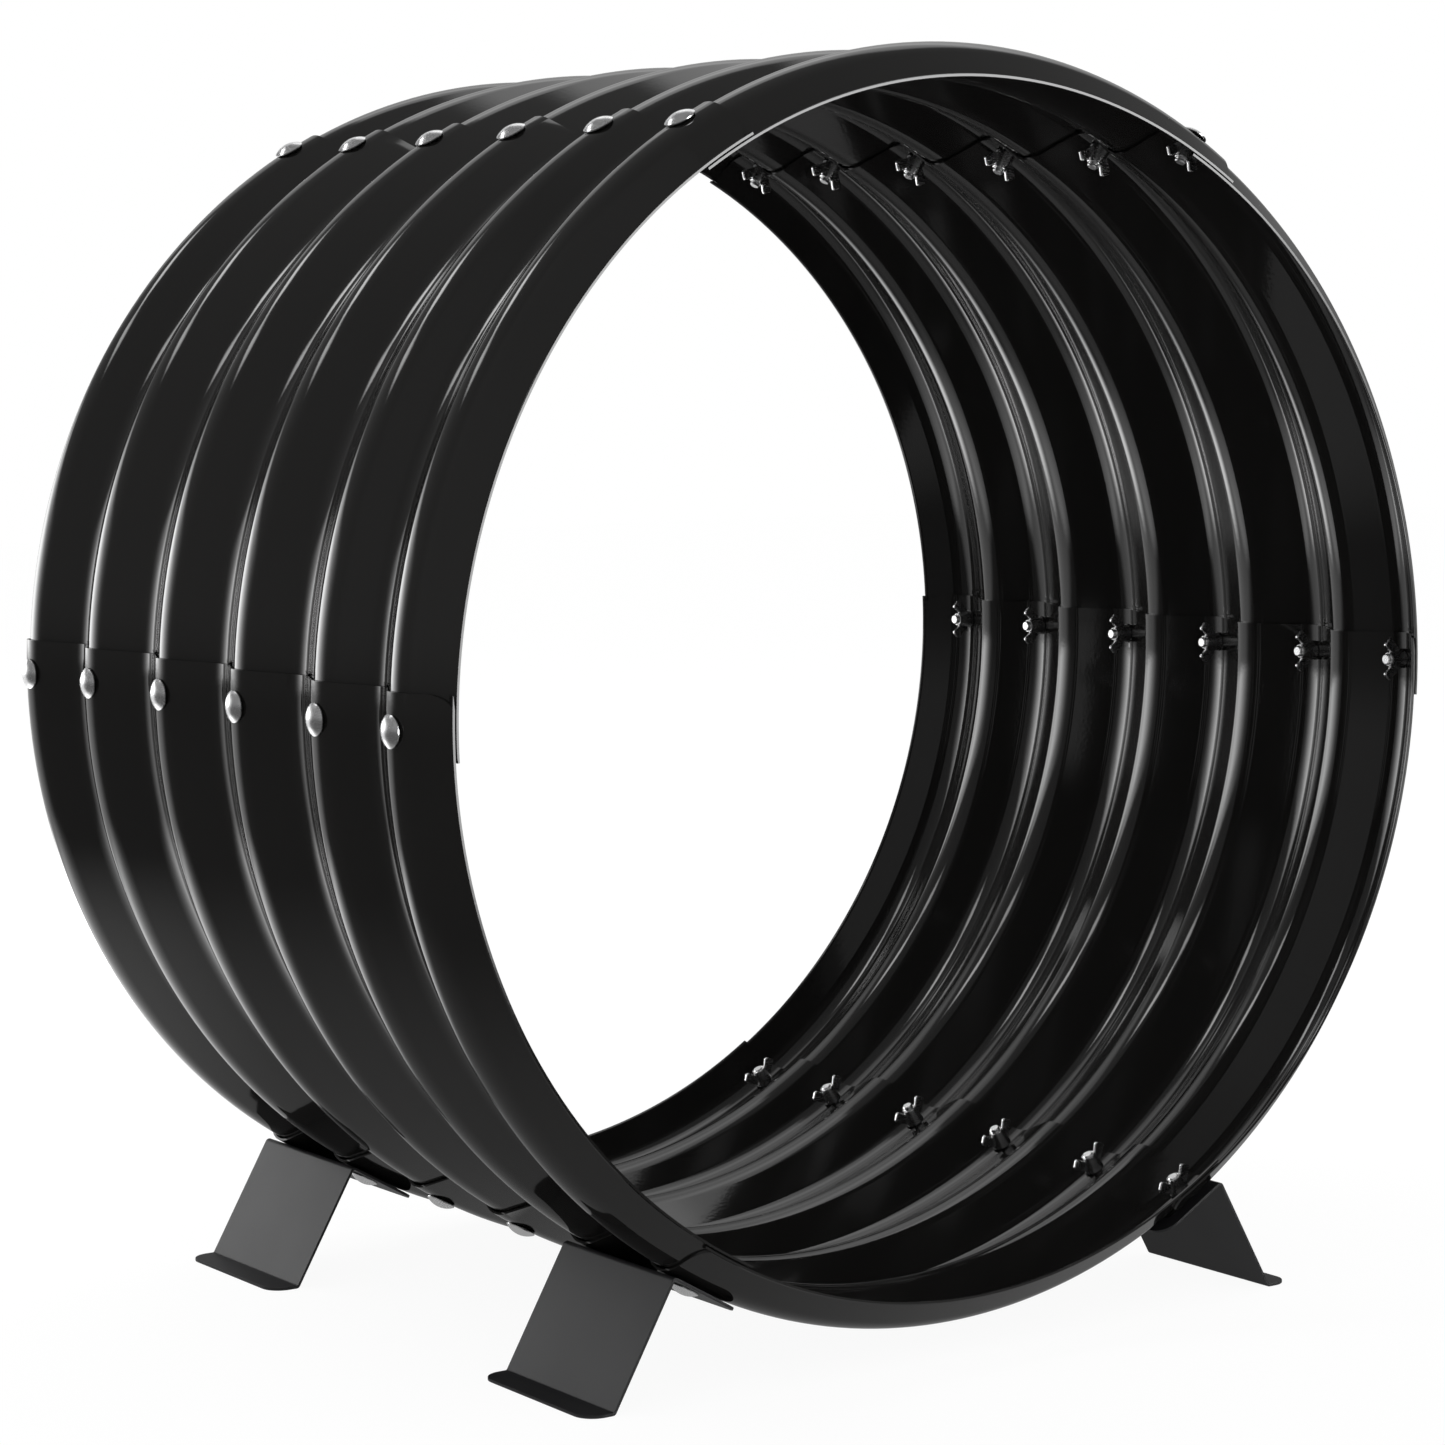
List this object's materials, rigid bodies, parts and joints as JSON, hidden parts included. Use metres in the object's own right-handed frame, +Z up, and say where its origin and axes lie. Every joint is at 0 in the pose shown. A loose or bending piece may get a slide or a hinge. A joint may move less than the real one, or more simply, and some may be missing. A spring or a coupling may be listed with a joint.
{
  "type": "firewood rack",
  "caption": "Round firewood rack: corrugated sheet-metal panels lapped and bolted with wing nuts into an open ring, standing on bent-sheet feet.",
  "frame": {"origin": "on the floor under the middle of the ring", "axes": "+Z up, +Y along the ring's axis away from the front opening, +X to the right seen from the front"},
  "size_m": [0.6614, 0.432, 0.6634],
  "materials": {
    "panel_paint": "gloss black paint on corrugated steel sheet",
    "foot_paint": "satin charcoal powder coat on bent steel sheet",
    "zinc": "bright zinc plate"
  },
  "bodies": {
    "root": {"panel_upper_right": "panel_paint", "panel_top": "panel_paint", "panel_upper_left": "panel_paint", "panel_lower_left": "panel_paint", "panel_bottom": "panel_paint", "panel_lower_right": "panel_paint", "foot_front_left": "foot_paint", "foot_front_right": "foot_paint", "foot_rear_left": "foot_paint", "foot_rear_right": "foot_paint", "bolts_right": "zinc", "wing_nuts_right": "zinc", "bolts_upper_right": "zinc", "wing_nuts_upper_right": "zinc", "bolts_upper_left": "zinc", "wing_nuts_upper_left": "zinc", "bolts_left": "zinc", "wing_nuts_left": "zinc", "bolts_lower_left": "zinc", "wing_nuts_lower_left": "zinc", "bolts_lower_right": "zinc", "wing_nuts_lower_right": "zinc"}
  },
  "joints": []
}
